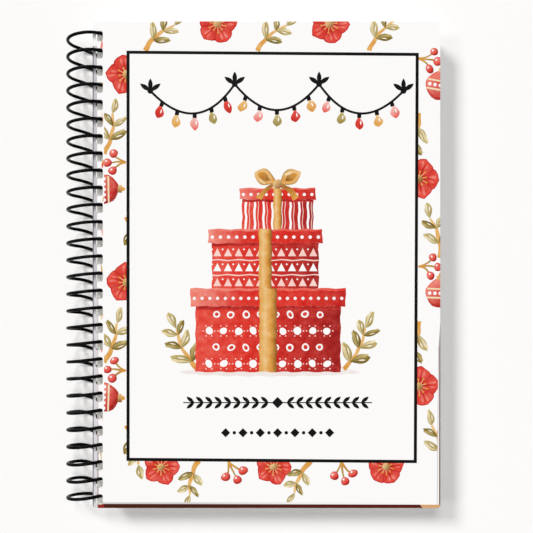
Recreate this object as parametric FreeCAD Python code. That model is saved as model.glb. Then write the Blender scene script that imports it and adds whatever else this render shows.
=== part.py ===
import FreeCAD, Part
import math
import os

from FreeCAD import Vector

os.makedirs("parts", exist_ok=True)

# A spiral-bound book of card pockets, lying closed on a table.
# +X runs from the bound edge to the fore edge, +Y along the spine to the head, +Z up.
# The origin is under the middle of the whole book, on the table. Lengths are in millimetres.

# Covers, both alike
cover_width = 127.0
cover_height = 177.8
cover_thickness = 0.4
cover_corner_radius = 1.2

# Pocket pages
page_count = 6
page_fore_inset = 3.0
page_end_inset = 0.3
page_thickness = 0.35
page_corner_radius = 1.2
leaf_gap = 0.1

# Binding coil
coil_outer_diameter = 16.0
wire_diameter = 1.2
hole_pitch = 6.27
coil_end_turn_share = 0.08

# The coil runs square to the spine inside the stack, drifts towards the tail of the book over
# its open side, and makes up the rest of the pitch under the back cover, mostly near its holes.
crown_drift = 1.05
crown_lead = 0.85
side_drift = 2.3
side_lead = 0.7
even_arc_share = 0.5
crossing_arc_share = 0.8

# Punched holes
hole_edge_margin = 2.4
hole_end_web = 0.6
hole_corner_radius = 0.8
hole_clearance = 0.16
wire_wander = 0.04

# Standard card and its pockets, two to a page
card_width = 85.6
card_height = 53.98
card_thickness = 0.76
card_side_clearance = 1.2
card_slack = 0.19
pockets_per_page = 2
pocket_panel_thickness = 0.25
pocket_flap_width = 6.0
pocket_shown_card_share = 0.3
pocket_corner_radius = 2.0
thumb_notch_radius = 9.0

# Reach of cutting shapes past the faces they cut
overrun = 1.0

# Points on each arc of the wire at which its gap to itself is measured
points_per_arc = 8

# Sizes that follow from these
page_width = cover_width - page_fore_inset
page_height = cover_height - 2 * page_end_inset
coil_radius = (coil_outer_diameter - wire_diameter) / 2
wire_radius = wire_diameter / 2
card_channel_depth = card_thickness + card_slack
pocket_rise = card_channel_depth + pocket_panel_thickness
leaf_step = page_thickness + pocket_rise + leaf_gap
stack_thickness = 2 * cover_thickness + page_count * leaf_step + leaf_gap


def hole_reach(height):
    """Distance from the coil's axis out to the wire, this far above or below the axis."""
    return math.sqrt(coil_radius ** 2 - height ** 2)


# The holes leave the wire its slant through the outer sheets, and its drift as a cover turns over.
cover_height_on_coil = (stack_thickness - cover_thickness) / 2
outer_run = hole_reach(stack_thickness / 2)
slant_width = wire_diameter * coil_radius / outer_run
slant_shift = cover_thickness * stack_thickness / 2 / outer_run
hole_width = slant_width + slant_shift + 2 * (hole_clearance + wire_wander)
cover_angle = math.asin(cover_height_on_coil / coil_radius)
turned_drift = side_drift + side_lead * max(0, cover_angle - math.pi / 4)
hole_head_reach = wire_radius + hole_clearance
hole_tail_reach = hole_head_reach + turned_drift
hole_length = hole_head_reach + hole_tail_reach

# The spine takes as many holes as its pages have room for, with the wire's row in its middle.
hole_row_room = page_height - 2 * (hole_tail_reach + hole_end_web)
hole_count = 1 + int(hole_row_room / hole_pitch)
hole_row_length = (hole_count - 1) * hole_pitch

# The overall width runs from the coil's outer side to the covers' fore edge.
cover_fore_edge = hole_reach(cover_height_on_coil) - hole_edge_margin + cover_width
coil_axis_x = (coil_outer_diameter / 2 - cover_fore_edge) / 2

# Coil stations in each turn: angle round the axis, drift towards the tail, lead per radian, and
# the share that the first of two arcs has in the run to the next station
quarter = math.pi / 2
stack_entry = -math.pi / 4
stations = [
    (stack_entry, 0.0, 0.0, even_arc_share),
    (stack_entry + quarter, 0.0, 0.0, even_arc_share),
    (stack_entry + 2 * quarter, crown_drift, crown_lead, even_arc_share),
    (stack_entry + 3 * quarter, side_drift, side_lead, crossing_arc_share),
]


def coil_station(angle, drift, lead, share, turn):
    """Point and direction of the wire, from the coil's axis, at an angle in one of its turns."""
    wire_y = hole_row_length / 2 - turn * hole_pitch - drift
    point = Vector(coil_radius * math.cos(angle), wire_y, coil_radius * math.sin(angle))
    direction = Vector(-coil_radius * math.sin(angle), -lead, coil_radius * math.cos(angle))
    return point, direction.normalize(), share


def arc_between(start, corner, finish):
    """Arc that leaves start towards corner and arrives at finish from it, both equally far off."""
    middle = (start + finish) / 2
    rise = corner - middle
    half_chord = (finish - start).Length / 2
    leg = (corner - start).Length
    radius = half_chord * leg / rise.Length
    sagitta = radius * (1 - half_chord / leg)
    crown = middle + rise * (sagitta / rise.Length)
    return Part.Arc(start, crown, finish)


def biarc(first, second):
    """Two arcs that join two stations, smooth at their ends and where they meet."""
    start, leave, share = first
    finish, arrive, _ = second
    span = finish - start
    ratio = share / (1 - share)
    bend = 2 * ratio * (1 - leave.dot(arrive))
    along = span.dot(leave * ratio + arrive)
    reach = (math.sqrt(along ** 2 + bend * span.dot(span)) - along) / bend
    corner_out = start + leave * ratio * reach
    corner_in = finish - arrive * reach
    meeting = corner_out + (corner_in - corner_out) * share
    return [arc_between(start, corner_out, meeting), arc_between(meeting, corner_in, finish)]


def coil_stations():
    """Every station of the coil; both ends stop short of the back cover's holes, under it."""
    end_angle = 2 * math.pi * coil_end_turn_share
    route = [coil_station(stack_entry - end_angle, 0.0, 0.0, even_arc_share, 0)]
    for turn in range(hole_count):
        for station in stations:
            route.append(coil_station(*station, turn))
    tail_run = quarter - end_angle
    tail_angle = stack_entry + 3 * quarter + tail_run
    tail_drift = side_drift + side_lead * tail_run
    route.append(coil_station(tail_angle, tail_drift, side_lead, even_arc_share, hole_count - 1))
    return route


def points_along(arcs):
    """Evenly spaced points on each arc of the wire."""
    points = []
    for arc in arcs:
        start = arc.FirstParameter
        stride = (arc.LastParameter - start) / points_per_arc
        for step in range(points_per_arc):
            points.append(arc.value(start + step * stride))
    return points


def least_self_gap(points):
    """Least clear distance between turns that lie side by side, on points along the wire."""
    half_turn = len(stations) * points_per_arc
    gap = hole_row_length
    for index, point in enumerate(points):
        for other in points[index + half_turn:index + 4 * half_turn]:
            gap = min(gap, (other - point).Length - wire_diameter)
    return gap


coil_route = coil_stations()
coil_arcs = []
for first_station, second_station in zip(coil_route, coil_route[1:]):
    coil_arcs.extend(biarc(first_station, second_station))
coil_points = points_along(coil_arcs)

# Levels above the table, on which the lowest turns of the coil lie
coil_axis_z = wire_radius - min(point.z for point in coil_points)
back_cover_z = coil_axis_z - stack_thickness / 2
first_leaf_z = back_cover_z + cover_thickness + leaf_gap
front_cover_z = coil_axis_z + stack_thickness / 2 - cover_thickness


def page_z(number):
    """Underside of a page; page 1 lies on top, next to the front cover."""
    return first_leaf_z + (page_count - number) * leaf_step


def hole_line(base, thickness):
    """Where the row of holes runs in a sheet at this level, so that it lies on the coil."""
    return coil_axis_x + hole_reach(base + thickness / 2 - coil_axis_z)


def rounded_sheet(left, bottom, width, height, radius, base, thickness):
    """Flat sheet with rounded corners, given by its lower left corner and its underside."""
    right = left + width
    top = bottom + height
    corners = [
        (right - radius, bottom + radius, -math.pi / 2),
        (right - radius, top - radius, 0),
        (left + radius, top - radius, math.pi / 2),
        (left + radius, bottom + radius, math.pi),
    ]
    edges = []
    ends = []
    for centre_x, centre_y, start in corners:
        points = []
        for angle in (start, start + math.pi / 4, start + math.pi / 2):
            along = centre_x + radius * math.cos(angle)
            across = centre_y + radius * math.sin(angle)
            points.append(Vector(along, across, base))
        ends.append((points[0], points[-1]))
        edges.append(Part.Arc(*points).toShape())
    for index, (start, finish) in enumerate(ends):
        following = ends[(index + 1) % len(ends)]
        edges.insert(2 * index + 1, Part.LineSegment(finish, following[0]).toShape())
    return Part.Face(Part.Wire(edges)).extrude(Vector(0, 0, thickness))


def punched_sheet(width, height, radius, base, thickness):
    """One leaf, set out from its row of holes, which lies on the coil at the leaf's level."""
    hole_x = hole_line(base, thickness)
    left = hole_x - hole_edge_margin
    sheet = rounded_sheet(left, -height / 2, width, height, radius, base, thickness)
    punch_left = hole_x - hole_width / 2
    depth = thickness + 2 * overrun
    punches = []
    for index in range(hole_count):
        foot = hole_row_length / 2 - index * hole_pitch - hole_tail_reach
        size = (hole_width, hole_length, hole_corner_radius)
        punches.append(rounded_sheet(punch_left, foot, *size, base - overrun, depth))
    return sheet.cut(Part.makeCompound(punches))


def card_pocket(page_base, row):
    """Glued pocket: side and bottom flaps stand on the page and carry a panel with a thumb notch.

    The places for the cards share out the page's height evenly.
    """
    floor = page_base + page_thickness
    channel_width = card_width + 2 * card_side_clearance
    width = channel_width + 2 * pocket_flap_width
    height = card_height * (1 - pocket_shown_card_share) + pocket_flap_width
    hole_x = hole_line(page_base, page_thickness)
    inner_edge = hole_x + hole_width / 2
    outer_edge = hole_x - hole_edge_margin + page_width
    centre_x = (inner_edge + outer_edge) / 2
    left = centre_x - width / 2
    place_height = card_height + pocket_flap_width
    space = (page_height - pockets_per_page * place_height) / (pockets_per_page + 1)
    bottom = page_height / 2 - (row + 1) * (space + place_height)
    body = rounded_sheet(left, bottom, width, height, pocket_corner_radius, floor, pocket_rise)
    channel = Part.makeBox(
        channel_width,
        height - pocket_flap_width + overrun,
        card_channel_depth + overrun,
        Vector(left + pocket_flap_width, bottom + pocket_flap_width, floor - overrun),
    )
    notch = Part.makeCylinder(
        thumb_notch_radius,
        pocket_panel_thickness + 2 * overrun,
        Vector(centre_x, bottom + height, floor + card_channel_depth - overrun),
    )
    return body.cut(channel).cut(notch)


def binding_coil():
    """The wire swept along its arcs, with both cut ends straight for one wire diameter."""
    head_point, head_direction, _ = coil_route[0]
    tail_point, tail_direction, _ = coil_route[-1]
    head_end = head_point - head_direction * wire_diameter
    tail_end = tail_point + tail_direction * wire_diameter
    edges = [Part.LineSegment(head_end, head_point).toShape()]
    edges.extend(arc.toShape() for arc in coil_arcs)
    edges.append(Part.LineSegment(tail_point, tail_end).toShape())
    section = Part.Wire(Part.makeCircle(wire_radius, head_end, head_direction))
    coil = Part.Wire(edges).makePipeShell([section], True, False)
    return coil.translated(Vector(coil_axis_x, 0, coil_axis_z))


solids = {}
solids["back_cover"] = punched_sheet(
    cover_width, cover_height, cover_corner_radius, back_cover_z, cover_thickness
)
solids["front_cover"] = punched_sheet(
    cover_width, cover_height, cover_corner_radius, front_cover_z, cover_thickness
)
pocket_places = ["upper", "lower"]
for number in range(1, page_count + 1):
    level = page_z(number)
    solids[f"page_{number}"] = punched_sheet(
        page_width, page_height, page_corner_radius, level, page_thickness
    )
    for row, place in enumerate(pocket_places[:pockets_per_page]):
        solids[f"pocket_{number}_{place}"] = card_pocket(level, row)
solids["binding_coil"] = binding_coil()

print("coil least gap to itself:", round(least_self_gap(coil_points), 3))
print("stack thickness:", round(stack_thickness, 3))
print("coil axis:", round(coil_axis_x, 4), round(coil_axis_z, 4))
print("punched hole:", round(hole_width, 3), "by", round(hole_length, 3))
for name, solid in solids.items():
    solid.exportStep(f"parts/{name}.step")
    box = solid.BoundBox
    print(name, solid.isValid(), len(solid.Solids), round(solid.Volume, 2), box)
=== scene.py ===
"""A closed, spiral-bound book of card pockets, lying on a pale table under soft studio light."""

import logging
import math
import random
from dataclasses import dataclass, field
from enum import Enum
from typing import NamedTuple

import bpy
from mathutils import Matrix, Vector
from mathutils.geometry import delaunay_2d_cdt


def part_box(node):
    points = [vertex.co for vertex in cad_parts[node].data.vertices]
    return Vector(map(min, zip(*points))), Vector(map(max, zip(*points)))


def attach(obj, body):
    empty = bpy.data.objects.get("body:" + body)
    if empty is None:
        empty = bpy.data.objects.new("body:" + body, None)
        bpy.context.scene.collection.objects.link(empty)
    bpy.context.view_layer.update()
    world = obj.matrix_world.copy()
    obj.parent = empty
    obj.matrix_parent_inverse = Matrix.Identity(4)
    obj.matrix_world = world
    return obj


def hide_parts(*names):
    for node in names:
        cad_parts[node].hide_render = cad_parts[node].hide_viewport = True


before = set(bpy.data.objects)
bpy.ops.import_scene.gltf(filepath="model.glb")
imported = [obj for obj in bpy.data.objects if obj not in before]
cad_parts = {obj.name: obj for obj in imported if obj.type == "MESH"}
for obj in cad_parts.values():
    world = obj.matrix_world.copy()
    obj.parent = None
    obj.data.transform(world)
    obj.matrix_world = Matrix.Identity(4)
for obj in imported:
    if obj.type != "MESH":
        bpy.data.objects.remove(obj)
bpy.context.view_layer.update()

Point = tuple[float, float]
Pair = tuple[float, float]  # a span, a size or a fade
Outline = list[Point]
Box = tuple[float, float, float, float]  # left, bottom, right and top
Term = str | float  # name of an input or of a sum, or a number
Rows = tuple[tuple[Term, ...], ...]
Socket = bpy.types.NodeSocket
Tree = bpy.types.NodeTree

MM = 0.001
MIX_SHARE, MIX_FIRST, MIX_SECOND, MIX_RESULT = 0, 6, 7, 2  # a Mix node's colour sockets
LOG = logging.getLogger("card_book")


def linear(hex_colour: str) -> tuple[float, float, float, float]:
    """Turn an sRGB hex colour into linear RGBA.

    Args:
        hex_colour: Colour such as "#D92B1F".

    Returns:
        Linear red, green and blue, with an alpha of 1.
    """
    channels = [int(hex_colour[start:start + 2], 16) / 255 for start in (1, 3, 5)]
    toned = [c / 12.92 if c <= 0.04045 else ((c + 0.055) / 1.055) ** 2.4 for c in channels]
    return (*toned, 1.0)


def add_node(
    tree: Tree, kind: str, inputs: dict[str | int, object] | None = None, **settings: object
) -> bpy.types.Node:
    """Add a node with its settings, and link or set its inputs.

    Args:
        tree: Shader or geometry tree that gets the node.
        kind: The node's type name.
        inputs: Sockets to link, or values to set, by input name or index.
        settings: Attributes of the node, set before its inputs.

    Returns:
        The new node.
    """
    node = tree.nodes.new(kind)
    for name, value in settings.items():
        setattr(node, name, value)
    for socket, value in (inputs or {}).items():
        if isinstance(value, Socket):
            tree.links.new(value, node.inputs[socket])
        else:
            node.inputs[socket].default_value = value
    return node


def new_material(name: str) -> tuple[bpy.types.Material, Tree]:
    """Make an empty node material.

    Args:
        name: The finish's common name.

    Returns:
        The material and its node tree.
    """
    material = bpy.data.materials.new(name)
    material.use_nodes = True
    material.node_tree.nodes.clear()
    return material, material.node_tree


class Ink(Enum):
    """Colours on the front cover: the card's own white, its edge, painted shade by the bound edge, and the
    printed inks.
    """

    CARD = "#FBFAF9"
    INSIDE = "#F3F0ED"
    EDGE = "#E9E6E3"
    # Painted shade by the bound edge: a dark line at the sheet's very edge, and a grey band over the
    # margin, paler towards the foot.
    CREASE = "#77737A"
    MARGIN = "#C9C5CB"
    PALE_MARGIN = "#DDD9DE"
    MARGIN_LINE = "#8E5A52"
    PALE_LINE = "#D9C3BC"
    BLACK = "#030303"
    MAROON = "#9C1F1C"
    DEEP_RED = "#C22A24"
    RED = "#D93126"
    CORAL = "#E44E40"
    SALMON = "#EF8778"
    BLUSH = "#F8CFC6"
    GOLD = "#DB9A42"
    PALE_GOLD = "#EBC080"
    STRAW = "#F0E0B8"
    DARK_OLIVE = "#6A5422"
    OLIVE = "#93803C"
    PALE_OLIVE = "#C8B578"
    BROWN = "#8A5220"
    SHADE = "#EFE6E3"
    FOOT_LINE = "#D2CFD1"
    FOOT_RED = "#922A20"
    FOOT_BROWN = "#451D11"
    FOOT_MAROON = "#571C15"
    FOOT_GOLD = "#D6A571"
    FORE_EDGE = "#775F52"

    @property
    def painted(self) -> bool:
        """Whether the ink is laid on unevenly, as paint is."""
        flat = ("CARD", "INSIDE", "EDGE", "CREASE", "BLACK", "MARGIN", "PALE_MARGIN", "FOOT", "FORE")
        return not self.name.startswith(flat)


TONES = {ink: linear(ink.value) for ink in Ink}


class Wrap(Enum):
    """Patterns of the wrapped boxes in the cover's picture."""

    DOTS = "dots"
    CHEVRONS = "chevrons"
    STRIPES = "stripes"


class Motif(Enum):
    """Motifs of the border, in the order in which they follow each other along a side."""

    BLOSSOM = "blossom"
    RISING_SPRIG = "rising_sprig"
    BAUBLE = "bauble"
    HANGING_SPRIG = "hanging_sprig"


@dataclass(frozen=True)
class Finish:
    """What every finish of the book has: a gloss that varies in patches, and a fine tooth.

    The tooth of real card, paper and plastic is finer than a tenth of a millimetre. It is drawn coarser,
    so that it shows.
    """

    name: str = "finish"
    roughness: float = 0.5
    smoother: float = 0.1
    duller: float = 0.1
    tooth_mm: float = 0.4
    tooth_detail: float = 4.0
    tooth_height_mm: float = 0.004
    tooth_strength: float = 0.5
    ior: float = 1.5
    specular: float = 0.5

    def tooth(self, tree: Tree, place: Socket) -> tuple[Socket, Socket]:
        """Make the surface's tooth.

        Args:
            tree: The finish's node tree.
            place: Socket that gives the point.

        Returns:
            The tooth's height, and the normal of a surface that has it.
        """
        height = add_node(tree, "ShaderNodeTexNoise", {
            "Vector": place, "Scale": 1 / (self.tooth_mm * MM), "Detail": self.tooth_detail,
        }).outputs["Fac"]
        bump = add_node(tree, "ShaderNodeBump", {
            "Strength": self.tooth_strength, "Distance": self.tooth_height_mm * MM, "Height": height,
        })
        return height, bump.outputs["Normal"]

    def surface(self, tree: Tree, colour: Socket, patches: Socket, normal: Socket) -> None:
        """Join colour, gloss and normal in the finish's surface.

        Args:
            tree: The finish's node tree.
            colour: Colour at each point.
            patches: Noise that is low where the surface is smoother and high where it is duller.
            normal: Normal at each point.
        """
        gloss = add_node(tree, "ShaderNodeMapRange", {
            "Value": patches,
            "To Min": self.roughness - self.smoother, "To Max": self.roughness + self.duller,
        }).outputs["Result"]
        shader = add_node(tree, "ShaderNodeBsdfPrincipled", {
            "Base Color": colour, "Roughness": gloss, "Normal": normal,
            "IOR": self.ior, "Specular IOR Level": self.specular,
        })
        add_node(tree, "ShaderNodeOutputMaterial", {"Surface": shader.outputs[0]})


@dataclass(frozen=True)
class CoatedCard(Finish):
    """Coated card, calendered and printed: smooth, with a soft even sheen over white and ink."""

    name: str = "printed_coated_card"
    roughness: float = 0.42
    smoother: float = 0.08
    duller: float = 0.08
    tooth_mm: float = 0.35
    tooth_strength: float = 0.35
    specular: float = 0.05
    pigment_mm: float = 2.6
    grain_mm: float = 0.45
    grain_weight: float = 0.4
    thin_wash: float = 0.7
    dense_wash: float = 1.25

    def material(self) -> bpy.types.Material:
        """Build the finish; the piece's attributes give its ink, and where that is a wash of paint.

        Returns:
            The finish.
        """
        material, tree = new_material(self.name)
        place = add_node(tree, "ShaderNodeTexCoord").outputs["Object"]
        ink = add_node(tree, "ShaderNodeAttribute", attribute_name="ink").outputs["Color"]
        wash = add_node(tree, "ShaderNodeAttribute", attribute_name="wash").outputs["Fac"]
        pools = add_node(tree, "ShaderNodeTexNoise", {
            "Vector": place, "Scale": 1 / (self.pigment_mm * MM), "Detail": 3.0, "Roughness": 0.6,
        }).outputs["Fac"]
        grain = add_node(tree, "ShaderNodeTexNoise", {
            "Vector": place, "Scale": 1 / (self.grain_mm * MM), "Detail": 2.0,
        }).outputs["Fac"]
        both = add_node(tree, "ShaderNodeMath", {
            0: grain, 1: self.grain_weight, 2: pools,
        }, operation="MULTIPLY_ADD").outputs[0]
        density = add_node(tree, "ShaderNodeMapRange", {
            "Value": both, "From Min": 0.45, "From Max": 0.95,
            "To Min": self.thin_wash, "To Max": self.dense_wash,
        }).outputs["Result"]
        painted = add_node(tree, "ShaderNodeGamma", {"Color": ink, "Gamma": density}).outputs["Color"]
        colour = add_node(tree, "ShaderNodeMix", {
            MIX_SHARE: wash, MIX_FIRST: ink, MIX_SECOND: painted,
        }, data_type="RGBA").outputs[MIX_RESULT]
        tooth, normal = self.tooth(tree, place)
        self.surface(tree, colour, tooth, normal)
        return material


@dataclass(frozen=True)
class PaperStock(Finish):
    """Uncoated card or paper, rolled from pulp: matt, with fine fibres and a duller cut edge.

    Real fibres are far thinner than the flecks drawn for them, which have to show.
    """

    name: str = "uncoated_page_card"
    roughness: float = 0.72
    tooth_height_mm: float = 0.012
    ior: float = 1.48
    specular: float = 0.3
    face: str = "#F8F6F2"
    fibre: str = "#F1EEE8"
    cut: str = "#E5E1D9"
    fibre_mm: float = 1.1
    upright_limit: float = 0.5
    crease_mm: float = 0.55
    crease_depth_mm: float = 0.12
    crease_shade: float = 0.7

    def crease(self, tree: Tree, place: Socket, channel: tuple[float, float, float]) -> Socket:
        """Find how far each point lies in the crease where the flaps under a pocket end.

        Args:
            tree: The finish's node tree.
            place: Socket that gives the point.
            channel: Left, right and lowest edge of the channel between the flaps, in metres.

        Returns:
            A socket that is 1 in the crease's bottom and 0 outside it.
        """
        left, right, foot = channel
        x, y, _ = add_node(tree, "ShaderNodeSeparateXYZ", {0: place}).outputs
        below = add_node(tree, "ShaderNodeMath", {0: foot, 1: y}, operation="SUBTRACT").outputs[0]
        # Distance from the channel's outline, sideways or downwards.
        from_middle = (("SUBTRACT", (left + right) / 2), ("ABSOLUTE",), ("SUBTRACT", (right - left) / 2))
        away = x
        for operation, *term in (*from_middle, ("MAXIMUM", below), ("ABSOLUTE",)):
            terms = dict(enumerate((away, *term)))
            away = add_node(tree, "ShaderNodeMath", terms, operation=operation).outputs[0]
        return add_node(tree, "ShaderNodeMapRange", {
            "Value": away, "From Max": self.crease_mm * MM, "To Min": 1.0, "To Max": 0.0,
        }, interpolation_type="SMOOTHSTEP").outputs["Result"]

    def material(self, channel: tuple[float, float, float] | None = None) -> bpy.types.Material:
        """Build the finish, with the cut edges told by their upright faces.

        Args:
            channel: Left, right and lowest edge of a pocket's card channel, in metres, if it has one.

        Returns:
            The finish.
        """
        material, tree = new_material(self.name)
        coordinates = add_node(tree, "ShaderNodeTexCoord").outputs
        place = coordinates["Object"]
        fibres = add_node(tree, "ShaderNodeTexNoise", {
            "Vector": place, "Scale": 1 / (self.fibre_mm * MM), "Detail": 5.0,
            "Roughness": 0.65, "Distortion": 1.4,
        })
        share = add_node(tree, "ShaderNodeMapRange", {
            "Value": fibres.outputs["Fac"], "From Min": 0.42, "From Max": 0.72,
        }).outputs["Result"]
        sheet = add_node(tree, "ShaderNodeMix", {
            MIX_SHARE: share, MIX_FIRST: linear(self.face), MIX_SECOND: linear(self.fibre),
        }, data_type="RGBA").outputs[MIX_RESULT]
        upright = add_node(tree, "ShaderNodeSeparateXYZ", {0: coordinates["Normal"]}).outputs["Z"]
        level = add_node(tree, "ShaderNodeMath", {0: upright}, operation="ABSOLUTE").outputs[0]
        edge = add_node(tree, "ShaderNodeMath", {
            0: level, 1: self.upright_limit,
        }, operation="LESS_THAN").outputs[0]
        colour = add_node(tree, "ShaderNodeMix", {
            MIX_SHARE: edge, MIX_FIRST: sheet, MIX_SECOND: linear(self.cut),
        }, data_type="RGBA").outputs[MIX_RESULT]
        tooth, normal = self.tooth(tree, place)
        if channel:
            crease = self.crease(tree, place, channel)
            # Painted shade in the crease: the colour darkens towards the cut tone there, over the bump.
            shade = add_node(tree, "ShaderNodeMath", {
                0: crease, 1: self.crease_shade,
            }, operation="MULTIPLY").outputs[0]
            colour = add_node(tree, "ShaderNodeMix", {
                MIX_SHARE: shade, MIX_FIRST: colour, MIX_SECOND: linear(self.cut),
            }, data_type="RGBA").outputs[MIX_RESULT]
            normal = add_node(tree, "ShaderNodeBump", {
                "Distance": self.crease_depth_mm * MM, "Height": crease, "Normal": normal,
            }, invert=True).outputs["Normal"]
        self.surface(tree, colour, tooth, normal)
        return material


@dataclass(frozen=True)
class CoilFilament(Finish):
    """Black PVC filament, extruded and wound hot: glossy, and a little uneven from the die."""

    name: str = "extruded_black_pvc"
    roughness: float = 0.24
    smoother: float = 0.06
    tooth_mm: float = 0.3
    tooth_detail: float = 2.0
    tooth_strength: float = 0.2
    ior: float = 1.53
    specular: float = 0.035
    body: str = "#030304"
    worn: str = "#0C0C0E"
    mottle_mm: float = 3.0

    def material(self) -> bpy.types.Material:
        """Build the finish, a little duller in patches where leaves rub it.

        Returns:
            The finish.
        """
        material, tree = new_material(self.name)
        place = add_node(tree, "ShaderNodeTexCoord").outputs["Object"]
        mottle = add_node(tree, "ShaderNodeTexNoise", {
            "Vector": place, "Scale": 1 / (self.mottle_mm * MM), "Detail": 3.0,
        }).outputs["Fac"]
        share = add_node(tree, "ShaderNodeMapRange", {
            "Value": mottle, "From Min": 0.45, "From Max": 0.75,
        }).outputs["Result"]
        colour = add_node(tree, "ShaderNodeMix", {
            MIX_SHARE: share, MIX_FIRST: linear(self.body), MIX_SECOND: linear(self.worn),
        }, data_type="RGBA").outputs[MIX_RESULT]
        _, normal = self.tooth(tree, place)
        self.surface(tree, colour, mottle, normal)
        return material


@dataclass(frozen=True)
class TableTop:
    """Matt white painted board under the book; it takes the book's shadow."""

    name: str = "matt_white_board"
    colour: str = "#FCFBFA"

    def material(self) -> bpy.types.Material:
        """Build the finish, which has no sheen at all.

        Returns:
            The finish.
        """
        material, tree = new_material(self.name)
        surface = add_node(tree, "ShaderNodeBsdfDiffuse", {"Color": linear(self.colour)})
        add_node(tree, "ShaderNodeOutputMaterial", {"Surface": surface.outputs[0]})
        return material


def turned(points: Outline, centre: Point, degrees: float) -> Outline:
    """Turn an outline about the origin and set it at a centre.

    Args:
        points: Outline about the origin.
        centre: Where the origin goes.
        degrees: Turn, counter-clockwise.

    Returns:
        The placed outline.
    """
    cosine, sine = math.cos(math.radians(degrees)), math.sin(math.radians(degrees))
    return [(centre[0] + x * cosine - y * sine, centre[1] + x * sine + y * cosine) for x, y in points]


def polar(centre: Point, reach: float, degrees: float) -> Point:
    """Point at a reach from a centre, in a direction."""
    return turned([(reach, 0.0)], centre, degrees)[0]


def disc(centre: Point, radius: float, sides: int = 16) -> Outline:
    """Outline of a round dot."""
    angles = [2 * math.pi * step / sides for step in range(sides)]
    return [(centre[0] + radius * math.cos(a), centre[1] + radius * math.sin(a)) for a in angles]


def panel(left: float, bottom: float, right: float, top: float) -> Outline:
    """Outline of an upright rectangle."""
    return [(left, bottom), (right, bottom), (right, top), (left, top)]


def diamond(centre: Point, half: float) -> Outline:
    """Outline of a square that stands on its corner."""
    return turned(panel(-half, -half, half, half), centre, 45)


def rounded(box: Box, radius: float, steps: int) -> Outline:
    """Outline of a rectangle with rounded corners.

    Args:
        box: The rectangle.
        radius: Radius of its corners.
        steps: Number of runs round each corner.

    Returns:
        The outline, counter-clockwise.
    """
    left, bottom, right, top = box
    outline = []
    # The sides change places, so that the corners' middles start at the top right.
    middles = panel(right - radius, top - radius, left + radius, bottom + radius)
    for corner, (x, y) in enumerate(middles):
        for step in range(steps + 1):
            angle = math.pi / 2 * (corner + step / steps)
            outline.append((x + radius * math.cos(angle), y + radius * math.sin(angle)))
    return outline


def blade(base: Point, length: float, width: float, degrees: float, belly: float = 0.5) -> Outline:
    """Outline of a leaf or petal that grows from its base.

    Args:
        base: Point where it grows.
        length: Length from base to tip.
        width: Greatest width.
        degrees: Direction in which it grows.
        belly: Share of the length at which it is widest.

    Returns:
        The placed outline.
    """
    steps, fullness = 9, 0.85
    power = math.log(0.5) / math.log(belly)
    shares = [step / steps for step in range(steps + 1)]
    halves = [width / 2 * math.sin(math.pi * share ** power) ** fullness for share in shares]
    near = [(share * length, -half) for share, half in zip(shares, halves)]
    far = [(share * length, half) for share, half in zip(shares[1:-1], halves[1:-1])]
    return turned(near + far[::-1], base, degrees)


def ribbon(path: Outline, start_width: float, end_width: float) -> Outline:
    """Outline of a brush stroke along a path.

    Args:
        path: Points along the middle of the stroke.
        start_width: Width at the first point.
        end_width: Width at the last point.

    Returns:
        The stroke's outline.
    """
    left, right = [], []
    last = len(path) - 1
    for index, (x, y) in enumerate(path):
        before, after = path[max(index - 1, 0)], path[min(index + 1, last)]
        along = Vector((after[0] - before[0], after[1] - before[1])).normalized()
        half = (start_width + (end_width - start_width) * index / last) / 2
        left.append((x - along.y * half, y + along.x * half))
        right.append((x + along.y * half, y - along.x * half))
    return left + right[::-1]


def counter_clockwise(outline: Outline) -> Outline:
    """Give an outline in counter-clockwise order, whichever way it was drawn.

    Args:
        outline: The outline as drawn.

    Returns:
        Its points in counter-clockwise order.
    """
    following = outline[1:] + outline[:1]
    area = sum(x * next_y - next_x * y for (x, y), (next_x, next_y) in zip(outline, following))
    return outline if area > 0 else outline[::-1]


def bowed(start: Point, finish: Point, sag: float, steps: int = 14) -> Outline:
    """Points along a line that bows to its right by a sag at the middle.

    Args:
        start: First point.
        finish: Last point.
        sag: Distance that the middle stands off the straight line.
        steps: Number of runs.

    Returns:
        The points in order.
    """
    span = Vector((finish[0] - start[0], finish[1] - start[1]))
    side = Vector((span.y, -span.x)).normalized()
    points = []
    for step in range(steps + 1):
        share = step / steps
        off = sag * 4 * share * (1 - share)
        points.append((start[0] + span.x * share + side.x * off, start[1] + span.y * share + side.y * off))
    return points


# Phase of the brush's waver for each millimetre along X and along Y: sideways, then upwards.
WAVER_PHASES = ((0.5, 0.9), (0.8, -0.6))


def wavering(outline: Outline, reach: float = 0.2, spacing: float = 2.0) -> Outline:
    """Give an outline the slight waver of a hand-held brush.

    Args:
        outline: Exact outline.
        reach: Greatest distance that an edge strays.
        spacing: Longest stretch left straight.

    Returns:
        The outline with its long edges divided and every point a little off.
    """
    points = []
    for (x, y), (next_x, next_y) in zip(outline, outline[1:] + outline[:1]):
        runs = max(1, round(math.hypot(next_x - x, next_y - y) / spacing))
        for step in range(runs):
            share = step / runs
            points.append((x + (next_x - x) * share, y + (next_y - y) * share))
    strayed = []
    for x, y in points:
        aside, up = [reach * math.sin(per_x * x + per_y * y) for per_x, per_y in WAVER_PHASES]
        strayed.append((x + aside, y + up))
    return strayed


@dataclass(frozen=True)
class Shape:
    """A flat shape of the print, whose ink may fade into another from one point to the next."""

    outline: Outline
    ink: Ink
    far_ink: Ink
    start: Point = (0.0, 0.0)
    finish: Point = (1.0, 0.0)

    def tone(self, x: float, y: float) -> list[float]:
        """Find the ink's colour at a point.

        Args:
            x: The point's place across the sheet.
            y: Its place up the sheet.

        Returns:
            Linear red, green, blue and alpha.
        """
        run = Vector(self.finish) - Vector(self.start)
        reach = Vector((x, y)) - Vector(self.start)
        share = min(max(reach.dot(run) / run.length_squared, 0.0), 1.0)
        pair = zip(TONES[self.ink], TONES[self.far_ink])
        return [near + (far - near) * share for near, far in pair]


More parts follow.
